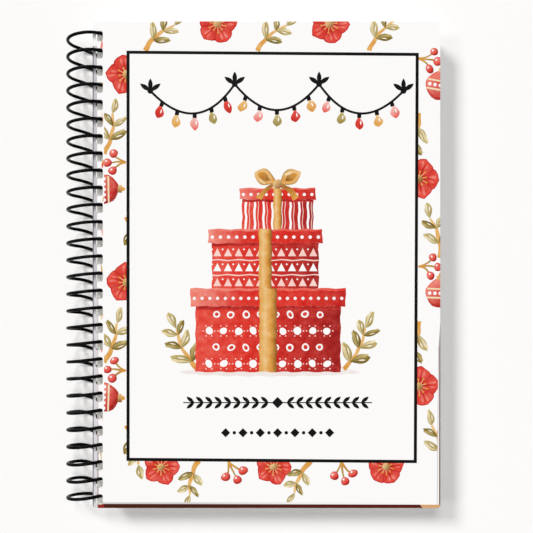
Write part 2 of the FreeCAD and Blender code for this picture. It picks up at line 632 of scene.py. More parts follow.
class Stroke(NamedTuple):
    """One painted blade of a motif: its size and its foot are shares of the motif's size."""

    length: float
    width: float
    turn: float
    near: Ink
    far: Ink
    belly: float = 0.5
    foot: Point = (0.0, 0.0)
    foot_turn: float = 0.0


VEIN_AND_SLIT = (
    Stroke(0.9, 0.09, 1, Ink.DARK_OLIVE, Ink.OLIVE),
    Stroke(0.36, 0.15, -3, Ink.STRAW, Ink.CARD, foot=(0.34, 0.0), foot_turn=-9),
)
DARK_LEAF = (
    Stroke(1.0, 1.0, 0, Ink.DARK_OLIVE, Ink.OLIVE),
    Stroke(0.96, 0.5, 8, Ink.OLIVE, Ink.PALE_OLIVE),
    *VEIN_AND_SLIT,
)
PALE_LEAF = (
    Stroke(1.0, 1.0, 0, Ink.OLIVE, Ink.PALE_OLIVE),
    Stroke(0.96, 0.5, 8, Ink.PALE_OLIVE, Ink.STRAW),
    *VEIN_AND_SLIT,
)
PETAL = (
    Stroke(1.0, 0.96, 0, Ink.DEEP_RED, Ink.DEEP_RED, 0.62),
    Stroke(0.95, 0.84, 0, Ink.DEEP_RED, Ink.CORAL, 0.64),
)
PETAL_STREAKS = (
    Stroke(0.44, 0.13, -7.8, Ink.RED, Ink.SALMON, 0.6, (0.36, 0.0), -13),
    Stroke(0.5, 0.13, 5.4, Ink.RED, Ink.SALMON, 0.6, (0.36, 0.0), 9),
    Stroke(0.55, 0.07, -2, Ink.MAROON, Ink.RED, 0.5, (0.2, 0.0), -2),
)
BOW_LOOP = (
    Stroke(1.0, 0.62, 0, Ink.BROWN, Ink.PALE_GOLD, 0.62),
    Stroke(0.96, 0.5, 0, Ink.GOLD, Ink.PALE_GOLD, 0.64),
    Stroke(0.55, 0.3, 0, Ink.BROWN, Ink.GOLD, 0.6, (0.3, 0.0)),
    Stroke(0.42, 0.08, -8, Ink.STRAW, Ink.PALE_GOLD, 0.5, (0.4, 0.19)),
)
WRAPPING = (Ink.CORAL, Ink.RED, Ink.DEEP_RED, Ink.MAROON)
LID = (Ink.SALMON, Ink.RED, Ink.RED, Ink.DEEP_RED)
GOLD_BAND = (Ink.GOLD, Ink.PALE_GOLD, Ink.GOLD, Ink.BROWN)


@dataclass
class CoverPrint:
    """The front cover's print: layers of flat ink, later ones over earlier ones, in millimetres."""

    shapes: list[Shape] = field(default_factory=list)
    sliver_seed: int = 8

    def lay(self, outline: Outline, ink: Ink, far_ink: Ink | None = None, fade: Pair = (0.0, 1.0)) -> None:
        """Lay one flat shape over what is there.

        Args:
            outline: Exact outline.
            ink: Its ink.
            far_ink: Ink into which it fades to the right, if it does.
            fade: Where along X the fade starts and ends.
        """
        start, finish = fade
        self.shapes.append(Shape(outline, ink, far_ink or ink, (start, 0.0), (finish, 0.0)))

    def brush(self, outline: Outline, ink: Ink, far_ink: Ink, start: Point, finish: Point) -> None:
        """Paint one shape by hand, with ink that fades into another from start to finish."""
        self.shapes.append(Shape(wavering(outline), ink, far_ink, start, finish))

    def strokes(self, base: Point, size: Pair, degrees: float, layers: tuple[Stroke, ...]) -> None:
        """Paint blades over each other, each with ink that fades from its foot to its tip.

        Args:
            base: Point where the motif grows.
            size: Length and width of the motif.
            degrees: Direction in which it grows.
            layers: Its blades.
        """
        length, width = size
        for layer in layers:
            along, aside = layer.foot
            foot = turned([(length * along, length * aside)], base, degrees + layer.foot_turn)[0]
            reach, heading = length * layer.length, degrees + layer.turn
            outline = blade(foot, reach, width * layer.width, heading, layer.belly)
            self.brush(outline, layer.near, layer.far, foot, polar(foot, reach, heading))

    def sprig(self, base: Point, length: float, degrees: float, bend: float, pairs: int = 2) -> None:
        """Paint a bowed stem with leaves in pairs and one at its tip.

        Args:
            base: Foot of the stem.
            length: Length of the stem.
            degrees: Direction of the stem.
            bend: Sag of the stem at its middle.
            pairs: Number of pairs of leaves.
        """
        leaves, spread, slender = (PALE_LEAF, DARK_LEAF), 48, 0.42
        stem_foot, stem_tip = 1.9, 0.9
        first_pair, spare = 0.8, 0.6
        largest_leaf, taper = 0.46, 0.05
        tip_leaf = (length * 0.4, length * 0.17)
        tip = polar(base, length, degrees)
        path = bowed(base, tip, bend)
        self.brush(ribbon(path, stem_foot, stem_tip), Ink.GOLD, Ink.PALE_GOLD, base, tip)
        for pair in range(pairs):
            at = path[round(len(path) * (pair + first_pair) / (pairs + spare))]
            size = length * (largest_leaf - taper * pair)
            for side, turn in enumerate((spread, -spread)):
                self.strokes(at, (size, size * slender), degrees + turn, leaves[(pair + side) % 2])
        self.strokes(path[-1], tip_leaf, degrees, PALE_LEAF)

    def blossom(self, centre: Point, radius: float, degrees: float) -> None:
        """Paint a five-petalled flower with stamens round a gold heart.

        Args:
            centre: Middle of the flower.
            radius: Reach of its petals.
            degrees: Turn of the first petal.
        """
        petals, stamens, first_stamen = 5, 10, 12
        long_stamen, short_stamen, heart = radius * 0.42, radius * 0.34, radius * 0.2
        thread_foot, thread_tip, anther = radius * 0.035, radius * 0.03, radius * 0.05
        for layers in (PETAL, PETAL_STREAKS):
            for petal in range(petals):
                self.strokes(centre, (radius, radius), degrees + 360 // petals * petal, layers)
        for stamen in range(stamens):
            reach = long_stamen if stamen % 2 else short_stamen
            tip = polar(centre, reach, degrees + 360 // stamens * stamen + first_stamen)
            self.lay(ribbon([centre, tip], thread_foot, thread_tip), Ink.PALE_GOLD)
            self.lay(disc(tip, anther, sides=8), Ink.GOLD)
        self.ball(centre, heart, Ink.PALE_GOLD, Ink.BROWN)

    def ball(self, centre: Point, radius: float, light: Ink, dark: Ink) -> None:
        """Paint a ball that is lit from the upper left.

        Args:
            centre: Middle of the ball.
            radius: Its radius.
            light: Ink on its lit side.
            dark: Ink on its far side.
        """
        x, y = centre
        off = radius * 0.7
        self.brush(disc(centre, radius, sides=20), light, dark, (x - off, y + off), (x + off, y - off))

    def berries(self, base: Point, reach: float, degrees: float) -> None:
        """Paint three berries on thin stems.

        Args:
            base: Point where the stems meet.
            reach: Length of the longest stem.
            degrees: Direction of the middle stem.
        """
        radius = reach * 0.22
        stem_foot, stem_tip, sag_per_degree = 0.8, 0.6, 0.02
        sheen, sheen_shift = radius * 0.74, radius * 0.1
        glint, glint_aside, glint_up = radius * 0.22, radius * 0.32, radius * 0.34
        for turn, share in ((-36, 0.8), (32, 0.86), (0, 1.0)):
            x, y = tip = polar(base, reach * share, degrees + turn)
            stem = ribbon(bowed(base, tip, turn * sag_per_degree, steps=6), stem_foot, stem_tip)
            self.brush(stem, Ink.GOLD, Ink.OLIVE, base, tip)
            self.ball(tip, radius, Ink.CORAL, Ink.MAROON)
            self.ball((x - sheen_shift, y + sheen_shift), sheen, Ink.SALMON, Ink.RED)
            self.lay(disc((x - glint_aside, y + glint_up), glint, sides=10), Ink.CARD)

    def bauble(self, centre: Point, radius: float, degrees: float) -> None:
        """Paint a round ornament with a dotted band and a gold cap.

        Args:
            centre: Middle of the ornament.
            radius: Its radius.
            degrees: Direction of its cap.
        """
        x, y = centre
        sheen, sheen_shift = radius * 0.86, radius * 0.08
        across, line_level, half_line = radius * 0.9, 0.3, 0.055
        dot, dot_pitch, outer_dot = radius * 0.12, across * 0.4, 2
        cap_foot, cap_top, half_cap = radius * 0.92, radius * 1.2, radius * 0.26
        eye_reach, eye = radius * 1.28, radius * 0.15
        self.ball(centre, radius, Ink.CORAL, Ink.MAROON)
        self.ball((x - sheen_shift, y + sheen_shift), sheen, Ink.SALMON, Ink.DEEP_RED)
        for level in (line_level, -line_level):
            line = panel(radius * (level - half_line), -across, radius * (level + half_line), across)
            self.lay(turned(line, centre, degrees), Ink.STRAW)
        for number in range(-outer_dot, outer_dot + 1):
            at = turned([(0, dot_pitch * number)], centre, degrees)[0]
            self.lay(disc(at, dot, sides=12), Ink.CARD)
        cap = turned(panel(cap_foot, -half_cap, cap_top, half_cap), centre, degrees)
        self.brush(cap, Ink.PALE_GOLD, Ink.BROWN, cap[3], cap[0])
        self.lay(disc(polar(centre, eye_reach, degrees), eye, sides=12), Ink.GOLD)

    def wall(self, face: Box, inks: tuple[Ink, ...]) -> None:
        """Paint one upright face that darkens from left to right.

        Args:
            face: The face.
            inks: Inks from left to right, evenly spread.
        """
        left, bottom, right, top = face
        spans = len(inks) - 1
        for number, pair in enumerate(zip(inks, inks[1:])):
            start, finish = [left + (right - left) * (number + end) / spans for end in (0, 1)]
            self.brush(panel(start, bottom, finish, top), *pair, (start, 0), (finish, 0))

    def gift_box(self, body: Box, lid: float, wrap: Wrap) -> None:
        """Paint one wrapped box with its lid and a ribbon down its front.

        Args:
            body: The box below its lid.
            lid: Height of the lid.
            wrap: Pattern of the wrapping.
        """
        left, bottom, right, top = body
        middle, width, head = (left + right) / 2, right - left, top + lid
        band, over, shadow = width * 0.06, width * 0.035, lid * 0.2
        rim_foot, bead_level = top + lid * 0.86, top + lid * 0.44
        bead_pitch, bead = 2.9, 0.21
        patterns = {Wrap.DOTS: self.dots, Wrap.CHEVRONS: self.chevrons, Wrap.STRIPES: self.stripes}
        self.wall(body, WRAPPING)
        patterns[wrap](body)
        shade = panel(left, top - shadow, right, top)
        self.brush(shade, Ink.MAROON, Ink.DEEP_RED, (0, top), (0, top - shadow))
        self.wall((middle - band, bottom, middle + band, top), GOLD_BAND)
        self.wall((left - over, top, right + over, head), LID)
        rim = panel(left - over, rim_foot, right + over, head)
        self.brush(rim, Ink.SALMON, Ink.CORAL, (left, 0), (right, 0))
        count = round((width + 2 * over) / bead_pitch)
        pitch = (width + 2 * over) / count
        for index in range(count):
            at = (left - over + pitch * (index + 0.5), bead_level)
            self.lay(disc(at, min(pitch, lid) * bead, sides=12), Ink.CARD)
        self.wall((middle - band, top, middle + band, head), GOLD_BAND)

    def dots(self, body: Box) -> None:
        """Fill a box with staggered dots and rings.

        Args:
            body: The box below its lid.
        """
        left, bottom, right, top = body
        rows, pitch, dot, heart = 4, 5.4, 1.35, 0.75
        ring, beads, bead = 2.1, 6, 0.28
        rise = (top - bottom) / rows
        for row in range(rows):
            count = int((right - left) / pitch) - row % 2
            start = (left + right) / 2 - pitch * (count - 1) / 2
            for index in range(count):
                centre = (start + pitch * index, bottom + rise * (row + 0.5))
                self.lay(wavering(disc(centre, dot)), Ink.CARD)
                if row % 2:
                    self.ball(centre, heart, Ink.CORAL, Ink.DEEP_RED)
                    continue
                for turn in range(0, 360, 360 // beads):
                    self.lay(disc(polar(centre, ring, turn), bead, sides=8), Ink.BLUSH)

    def chevrons(self, body: Box) -> None:
        """Fill a box with bands of small triangles between fine lines.

        Args:
            body: The box below its lid.
        """
        left, bottom, right, top = body
        rows, count, bead, bead_level = 3, 10, 0.34, 0.6
        line_foot, line_head = 0.84, 0.92
        corners = ((0.12, 0.14), (0.88, 0.14), (0.5, 0.68))
        rise, pitch = (top - bottom) / rows, (right - left) / count
        for row in range(rows):
            foot = bottom + rise * row
            line = panel(left, foot + rise * line_foot, right, foot + rise * line_head)
            self.lay(wavering(line), Ink.BLUSH)
            for index in range(count):
                start = left + pitch * index
                triangle = [(start + pitch * across, foot + rise * up) for across, up in corners]
                self.lay(triangle, Ink.CARD if row % 2 else Ink.BLUSH)
                self.lay(disc((start, foot + rise * bead_level), bead, sides=8), Ink.CARD)

    def stripes(self, body: Box) -> None:
        """Fill a box with upright stripes, broad and fine.

        Args:
            body: The box below its lid.
        """
        left, bottom, right, top = body
        count, bands = 8, ((0.3, 0.55, Ink.CARD), (0.78, 0.86, Ink.BLUSH))
        pitch = (right - left) / count
        for index in range(count):
            start = left + pitch * index
            for near, far, ink in bands:
                self.lay(wavering(panel(start + pitch * near, bottom, start + pitch * far, top)), ink)

    def bow(self, knot: Point, reach: float) -> None:
        """Paint a tied bow.

        Args:
            knot: Middle of the bow.
            reach: Length of each loop.
        """
        loops, heart = (152, 28), reach * 0.17
        tails = ((-142, 1.0), (-38, -1.0))
        tail, tail_foot, tail_end = reach * 0.9, 1.0, 2.4
        for degrees, sag in tails:
            tip = polar(knot, tail, degrees)
            outline = ribbon(bowed(knot, tip, sag, steps=6), tail_foot, tail_end)
            self.brush(outline, Ink.BROWN, Ink.GOLD, knot, tip)
        for degrees in loops:
            self.strokes(knot, (reach, reach), degrees, BOW_LOOP)
        self.ball(knot, heart, Ink.PALE_GOLD, Ink.BROWN)

    def parcels(self, foot: Point) -> None:
        """Paint three wrapped boxes, stacked, with sprigs at their foot and a bow on top.

        Args:
            foot: Point of the ground on which they stand.
        """
        x, level = foot
        shade_reach, shade_height = 33, 1.6
        sprigs = ((-26, 118, -1.5), (27, 62, 1.5))
        sprig_rise, sprig_length, pairs = 1, 17, 3
        stack = (
            (-27, 26, 24.0, 6.6, Wrap.DOTS),
            (-21, 18, 16.4, 5.2, Wrap.CHEVRONS),
            (-10, 16, 10.8, 4.2, Wrap.STRIPES),
        )
        bow_shift, bow_rise, bow_reach = 3, 1.4, 9.5
        round_spot = disc((0, 0), 1, sides=40)
        shade = [(x + across * shade_reach, level + up * shade_height) for across, up in round_spot]
        self.lay(wavering(shade), Ink.SHADE)
        for shift, heading, bend in sprigs:
            self.sprig((x + shift, level + sprig_rise), sprig_length, heading, bend, pairs)
        for left, right, height, lid, wrap in stack:
            self.gift_box((x + left, level, x + right, level + height), lid, wrap)
            level += height + lid
        self.bow((x + bow_shift, level + bow_rise), bow_reach)

    def string_of_lights(self, span: Pair, level: float) -> None:
        """Draw a black wire in three swags, with painted bulbs along it and leaves where it is held.

        Args:
            span: Left and right end of the wire.
            level: Height of its ends.
        """
        swags, sag, runs, lift, wire = 3, 9.5, 30, 2.5, 0.85
        bulbs, first_bulb, spare, fan = 5, 0.7, 0.4, 9
        neck, size = 1.0, (5.2, 3.3)
        glint_foot, glint = (2.6, 0.55), (1.7, 0.5)
        holder = panel(-0.2, -0.75, 1.7, 0.75)
        leaf, leaf_turns, knot_radius = (4.6, 1.7), (35, 90, 145), 1.1
        pairs = ((Ink.CORAL, Ink.DEEP_RED), (Ink.PALE_GOLD, Ink.GOLD),
                 (Ink.BLUSH, Ink.CORAL), (Ink.PALE_OLIVE, Ink.OLIVE))
        start, finish = span
        knots = []
        for knot in range(swags + 1):
            raised = lift if 0 < knot < swags else 0.0
            knots.append((start + (finish - start) / swags * knot, level + raised))
        for swag in range(swags):
            path = bowed(knots[swag], knots[swag + 1], sag, runs)
            for bulb in range(bulbs):
                at = path[round(runs * (bulb + first_bulb) / (bulbs + spare))]
                turn = 270 + (bulb - bulbs // 2) * fan
                glass = Stroke(1.0, 1.0, 0, *pairs[(bulb + swag) % len(pairs)], belly=0.6)
                self.strokes(polar(at, neck, turn), size, turn, (glass,))
                self.lay(blade(turned([glint_foot], at, turn)[0], *glint, turn), Ink.CARD)
                self.lay(turned(holder, at, turn), Ink.BLACK)
            self.lay(ribbon(path, wire, wire), Ink.BLACK)
        for knot in knots:
            for turn in leaf_turns:
                self.lay(blade(knot, *leaf, turn), Ink.BLACK)
            self.lay(disc(knot, knot_radius, sides=12), Ink.BLACK)

    def laurel_rule(self, centre: Point, length: float) -> None:
        """Draw a black line of small paired leaves that grow outwards from a diamond.

        Args:
            centre: Middle of the line.
            length: Its length.
        """
        x, y = centre
        half, half_line, half_diamond = length / 2, 0.2, 1.5
        count, first, bare_end = 9, 3.4, 4
        leaf, lean = (3.5, 1.35), 38
        self.lay(panel(x - half, y - half_line, x + half, y + half_line), Ink.BLACK)
        pitch = (half - bare_end) / count
        for side, heading in ((-1, 180), (1, 0)):
            for index in range(count):
                at = (x + side * (first + pitch * index), y)
                for turn in (lean, -lean):
                    self.lay(blade(at, *leaf, heading + turn), Ink.BLACK)
        self.lay(diamond(centre, half_diamond), Ink.BLACK)

    def bead_rule(self, centre: Point, length: float) -> None:
        """Draw a row of black diamonds with beads between them.

        Args:
            centre: Middle of the row.
            length: Its length.
        """
        count, bead, half_diamond = 13, 0.65, 1.2
        pitch = length / (count - 1)
        for index in range(count):
            at = (centre[0] - length / 2 + pitch * index, centre[1])
            self.lay(disc(at, bead, sides=12) if index % 2 else diamond(at, half_diamond), Ink.BLACK)

    def trimmings(self, line_x: float, bottom: float, top: float) -> None:
        """Leave slivers of the border's print along the row of holes, where the sheet was trimmed.

        Args:
            line_x: Line along which they lie.
            bottom: Lower end of the row.
            top: Upper end of the row.
        """
        draw = random.Random(self.sliver_seed)
        inks = (Ink.PALE_GOLD, Ink.GOLD, Ink.BLUSH, Ink.PALE_OLIVE, Ink.CORAL)
        count, stray, slack = 13, 0.3, 0.5
        lengths, widths = (2.0, 7.5), (0.4, 0.8)
        for index in range(count):
            x = line_x + draw.uniform(-stray, stray)
            y = bottom + (top - bottom) * (index + draw.uniform(0, slack)) / count
            size = (draw.uniform(*lengths), draw.uniform(*widths))
            sliver = Stroke(1.0, 1.0, 0, inks[index % len(inks)], inks[(index + 2) % len(inks)])
            self.strokes((x, y), size, 90, (sliver,))


@dataclass(frozen=True)
class Border:
    """Motifs round the frame, which cuts them as the sheet's edges do, in millimetres and degrees."""

    seed: int = 7
    rows: int = 8
    top_row: float = 66.5
    row_pitch: float = 19.0
    row_tilt: float = 14.0
    blossom_radius: float = 7.6
    blossom_rise: float = 3.0
    sprig_length: float = 15.0
    sprig_bend: float = 1.2
    rising_drop: float = 7.0
    rising_lean: float = 14.0
    rising_steadiness: float = 3.0
    hanging_rise: float = 8.0
    hanging_lean: float = 16.0
    bauble_radius: float = 5.4
    bauble_drop: float = 1.0
    berries_reach: float = 7.0
    berries_rise: float = 9.0
    columns: int = 5
    first_column: float = -33.0
    column_pitch: float = 20.5
    column_tilt: float = 12.0
    head_blossom_radius: float = 7.4
    head_blossom_drop: float = 1.0
    head_sprig_length: float = 14.0
    head_sprig_shift: float = 6.0
    head_sprig_heading: float = 38.0
    head_sprig_bend: float = -1.4
    foot_blossom_radius: float = 6.8
    foot_blossom_drop: float = 2.2
    foot_sprig_length: float = 13.0
    foot_sprig_shift: float = 7.0
    foot_sprig_heading: float = 245.0
    foot_sprig_bend: float = 1.0
    foot_berries_reach: float = 7.5
    foot_berries_shift: float = 4.0
    foot_berries_heading: float = 285.0

    def paint(self, art: CoverPrint, corners: tuple[Point, ...], ground: Box) -> None:
        """Strew the motifs down both sides, then along the head and the foot.

        Args:
            art: The print that gets them.
            corners: Outer corners of the frame line, from the top left, clockwise.
            ground: The printed ground.
        """
        draw = random.Random(self.seed)
        left, _, right, top = ground
        (inner_left, upper), (inner_right, _), _, (_, lower) = corners
        for row in range(self.rows):
            for side, edge, inner in ((0, left, inner_left), (1, right, inner_right)):
                tilt = draw.uniform(-self.row_tilt, self.row_tilt)
                self.side_motif(art, row, side, (edge, inner), tilt)
        for column in range(self.columns):
            along = self.first_column + self.column_pitch * column
            tilt = draw.uniform(-self.column_tilt, self.column_tilt)
            if column % 2:
                art.blossom((along, top - self.head_blossom_drop), self.head_blossom_radius, tilt)
                foot, heading = along - self.foot_sprig_shift, self.foot_sprig_heading + tilt
                art.sprig((foot, lower), self.foot_sprig_length, heading, self.foot_sprig_bend)
                foot, heading = along + self.foot_berries_shift, self.foot_berries_heading + tilt
                art.berries((foot, lower), self.foot_berries_reach, heading)
            else:
                foot, heading = along - self.head_sprig_shift, self.head_sprig_heading + tilt
                art.sprig((foot, upper), self.head_sprig_length, heading, self.head_sprig_bend)
                art.blossom((along, lower - self.foot_blossom_drop), self.foot_blossom_radius, tilt)

    def side_motif(self, art: CoverPrint, row: int, side: int, lines: Pair, tilt: float) -> None:
        """Paint one motif of a side.

        Args:
            art: The print that gets it.
            row: Its row, from the top.
            side: 0 on the left and 1 on the right.
            lines: Where the printed ground and the frame end on that side.
            tilt: Its own turn.
        """
        edge, inner = lines
        outward, lean = (0, -1) if side else (180, 1)
        height = self.top_row - self.row_pitch * row
        motifs = list(Motif)
        motif = motifs[(row + 2 * side) % len(motifs)]
        if motif is Motif.BLOSSOM:
            art.blossom((inner, height + self.blossom_rise), self.blossom_radius, tilt + outward)
        elif motif is Motif.RISING_SPRIG:
            heading = 90 - self.rising_lean * lean + tilt / self.rising_steadiness
            art.sprig((edge, height - self.rising_drop), self.sprig_length, heading, self.sprig_bend)
        elif motif is Motif.BAUBLE:
            art.bauble((edge, height - self.bauble_drop), self.bauble_radius, 90 - outward / 2 + tilt)
            art.berries((inner, height + self.berries_rise), self.berries_reach, outward + tilt)
        else:
            heading = 270 + self.hanging_lean * lean
            art.sprig((inner, height + self.hanging_rise), self.sprig_length, heading, -self.sprig_bend)


@dataclass(frozen=True)
class EdgeTrim:
    """Painted shade by the bound edge, and ink that the cut left along the sheet's edges, in millimetres.
    """

    sheet: Box
    bleed: float = 1.0
    tone_width: float = 1.8
    upper_tone_width: float = 1.6
    tone_change: float = -12.0
    head_gap: float = 9.0
    edge_shade_width: float = 0.36
    line_change: float = -62.0
    pale_line_width: float = 0.25
    dark_line_width: float = 0.3
    foot_line_start: float = 3.0
    foot_line_height: float = 2.1
    foot_line_fade: Pair = (-19.0, 29.0)
    foot_red_span: Pair = (1.9, 5.6)
    band_start: float = 4.2
    band_gaps: Pair = (5.8, 7.4)
    band_heights: Pair = (1.5, 1.25)
    band_fade: Pair = (-10.0, 40.0)
    gold_height: float = 1.2
    fore_levels: Pair = (58.0, 68.0)
    fore_lines: tuple[tuple[float, float, Ink], ...] = (
        (1.25, 0.78, Ink.MARGIN), (0.98, 0.52, Ink.CARD), (0.47, 0.42, Ink.FORE_EDGE),
    )

    def spine(self, art: CoverPrint) -> None:
        """Lay the painted shade beside the bound edge, a grey band and a dark edge line, and fine lines of
        ink.

        Args:
            art: The print that gets them.
        """
        left, bottom, _, top = self.sheet
        out, low, head = left - self.bleed, bottom - self.bleed, top - self.head_gap
        edge = left + self.tone_width
        # Painted shade: a grey band over the margin, paler below the change, and a dark line along the
        # sheet's very edge.
        art.lay(panel(out, low, edge, self.tone_change), Ink.PALE_MARGIN)
        art.lay(panel(out, self.tone_change, left + self.upper_tone_width, head), Ink.MARGIN)
        art.lay(panel(out, low, left + self.edge_shade_width, head), Ink.CREASE)
        art.lay(panel(edge, self.line_change, edge + self.pale_line_width, self.tone_change), Ink.PALE_LINE)
        art.lay(panel(edge, low, edge + self.dark_line_width, self.line_change), Ink.MARGIN_LINE)

    def foot(self, art: CoverPrint) -> None:
        """Lay the dark band along the foot, with its red start and its gold end.

        Args:
            art: The print that gets it.
        """
        left, bottom, right, _ = self.sheet
        out, low = right + self.bleed, bottom - self.bleed
        red_start, red_end = self.foot_red_span
        start_height, end_height = self.band_heights
        low_gap, high_gap = self.band_gaps
        line = panel(left + self.foot_line_start, low, right, bottom + self.foot_line_height)
        art.lay(line, Ink.FOOT_LINE, Ink.CARD, self.foot_line_fade)
        art.lay(panel(left + red_start, low, left + red_end, bottom + start_height), Ink.FOOT_RED)
        start = left + self.band_start
        end = [(right - low_gap, low), (right - high_gap, bottom + end_height)]
        band = [(start, low), *end, (start, bottom + start_height)]
        art.lay(band, Ink.FOOT_BROWN, Ink.FOOT_MAROON, self.band_fade)
        art.lay([end[0], (out, low), (out, bottom + self.gold_height), end[1]], Ink.FOOT_GOLD)

    def fore_edge(self, art: CoverPrint) -> None:
        """Lay the lines that taper up the lower part of the fore edge.

        Args:
            art: The print that gets them.
        """
        _, bottom, right, _ = self.sheet
        out, low = right + self.bleed, bottom + self.gold_height
        taper, tip = [bottom + level for level in self.fore_levels]
        for foot_reach, head_reach, ink in self.fore_lines:
            foot = [(out, low), (right - foot_reach, low)]
            art.lay(foot + [(right - head_reach, taper), (right, tip), (out, tip)], ink)


@dataclass
class FrontCover:
    """Printed front cover: one sheet of card with its row of punched holes, in millimetres."""

    node: str = "front_cover"
    corner_radius: float = 1.2
    corner_steps: int = 5
    hole_count: int = 28
    hole_pitch: float = 6.27
    hole_width: float = 2.582
    hole_head_reach: float = 0.76
    hole_tail_reach: float = 3.06
    hole_corner_radius: float = 0.8
    hole_corner_steps: int = 4
    hole_edge_margin: float = 2.4
    frame_line: float = 1.15
    frame_corners: tuple[Point, ...] = ((-45.72, 78.2), (61.08, 77.4), (60.38, -72.5), (-45.72, -71.7))
    print_left: float = -53.92
    sliver_line_gap: float = 0.7
    sliver_gaps: Pair = (2.0, 4.0)
    lights_span: Pair = (-37.0, 55.5)
    lights_level: float = 63.5
    parcels_foot: Point = (6.5, -39.2)
    laurel_middle: Point = (9.5, -50.4)
    laurel_length: float = 69.0
    bead_middle: Point = (9.5, -61.4)
    bead_length: float = 38.0
    merge_distance: float = 1e-4

    def __post_init__(self) -> None:
        """Read where the sheet lies."""
        low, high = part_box(self.node)
        self.low, self.high = low / MM, high / MM
        self.sheet = (self.low.x, self.low.y, self.high.x, self.high.y)

    def holes(self) -> list[Outline]:
        """Place the punched holes.

        Returns:
            Their outlines, from the head down.
        """
        middle = self.low.x + self.hole_edge_margin
        left, right = middle - self.hole_width / 2, middle + self.hole_width / 2
        outlines = []
        for index in range(self.hole_count):
            y = self.hole_pitch * ((self.hole_count - 1) / 2 - index)
            slot = (left, y - self.hole_tail_reach, right, y + self.hole_head_reach)
            outlines.append(rounded(slot, self.hole_corner_radius, self.hole_corner_steps))
        return outlines

    def artwork(self) -> CoverPrint:
        """Lay out the whole print, from the ground up.

        Returns:
            The print.
        """
        art = CoverPrint()
        trim = EdgeTrim(self.sheet)
        left, bottom, right, top = self.sheet
        foot_gap, head_gap = self.sliver_gaps
        Border().paint(art, self.frame_corners, (self.print_left, bottom, right, top))
        art.lay(panel(left - trim.bleed, bottom - trim.bleed, self.print_left, top + trim.bleed), Ink.CARD)
        art.trimmings(self.print_left - self.sliver_line_gap, bottom + foot_gap, top - head_gap)
        trim.spine(art)
        trim.foot(art)
        trim.fore_edge(art)
        inwards = ((1, -1), (-1, -1), (-1, 1), (1, 1))
        line = self.frame_line
        ground = [(x + dx * line, y + dy * line) for (x, y), (dx, dy) in zip(self.frame_corners, inwards)]
        art.lay(list(self.frame_corners), Ink.BLACK)
        art.lay(ground, Ink.CARD)
        art.string_of_lights(self.lights_span, self.lights_level)
        art.parcels(self.parcels_foot)
        art.laurel_rule(self.laurel_middle, self.laurel_length)
        art.bead_rule(self.bead_middle, self.bead_length)
        return art

    def build(self, finish: bpy.types.Material) -> bpy.types.Object:
        """Cut the sheet along its outline, holes and print, and give it its thickness.

        Args:
            finish: Material of the printed card.

        Returns:
            The cover, riding on its body.
        """
        sheet = rounded(self.sheet, self.corner_radius, self.corner_steps)
        layers = [Shape(sheet, Ink.CARD, Ink.CARD)] + self.artwork().shapes
        points, faces = [], []
        for outline in [layer.outline for layer in layers] + self.holes():
            faces.append(list(range(len(points), len(points) + len(outline))))
            points.extend(Vector(point) for point in counter_clockwise(outline))
        flat, _, cells, _, _, owners = delaunay_2d_cdt(points, [], faces, 1, self.merge_distance, True)
        kept = []
        for cell, above in zip(cells, owners):
            if 0 in above and max(above) < len(layers):
                kept.append((cell, layers[max(above)]))
        return self.thicken(flat, kept, finish)

    def thicken(
        self, flat: list[Vector], kept: list[tuple[list[int], Shape]], finish: bpy.types.Material
    ) -> bpy.types.Object:
        """Turn the flat, inked triangles into a closed sheet.

        Args:
            flat: Points of the flat sheet, in millimetres.
            kept: Triangles inside the sheet, with the shapes that ink them.
            finish: Material of the printed card.

        Returns:
            The cover, riding on its body.
        """
        used = sorted({index for cell, _ in kept for index in cell})
        place = {index: number for number, index in enumerate(used)}
        top = [[place[index] for index in cell] for cell, _ in kept]
        rims = {}
        for cell in top:
            for start, end in zip(cell, cell[1:] + cell[:1]):
                if (end, start) in rims:
                    del rims[(end, start)]
                else:
                    rims[(start, end)] = True
        count = len(used)
        levels = (self.high.z, self.low.z)
        vertices = [(flat[i].x * MM, flat[i].y * MM, level * MM) for level in levels for i in used]
        under = [[index + count for index in reversed(cell)] for cell in top]
        sides = [[end, start, start + count, end + count] for start, end in rims]
        inside, edge = [Shape([], ink, ink) for ink in (Ink.INSIDE, Ink.EDGE)]
        shapes = [shape for _, shape in kept] + [inside] * len(under) + [edge] * len(sides)
        mesh = bpy.data.meshes.new("printed_front_cover")
        mesh.from_pydata(vertices, [], top + under + sides)
        colours = mesh.color_attributes.new("ink", "FLOAT_COLOR", "CORNER")
        wash = mesh.attributes.new("wash", "FLOAT", "FACE")
        for polygon, shape in zip(mesh.polygons, shapes):
            wash.data[polygon.index].value = 1.0 if shape.ink.painted else 0.0
            for corner, vertex in zip(polygon.loop_indices, polygon.vertices):
                x, y, _ = mesh.vertices[vertex].co / MM
                colours.data[corner].color = shape.tone(x, y)
        mesh.materials.append(finish)
        return place_piece(mesh, "front", "cover_print", self.node)


def place_piece(mesh: bpy.types.Mesh, body: str, slot: str, *nodes: str) -> bpy.types.Object:
    """Put a finished mesh in the scene as a piece of the book.

    Args:
        mesh: Mesh in the book's frame, in metres.
        body: Body that carries the piece.
        slot: Not used.
        nodes: CAD nodes that the piece stands for.

    Returns:
        The placed piece.
    """
    piece = bpy.data.objects.new(mesh.name, mesh)
    bpy.context.scene.collection.objects.link(piece)
    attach(piece, body)
    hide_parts(*nodes)
    LOG.info("%s: %d faces on %s", piece.name, len(mesh.polygons), body)
    return piece


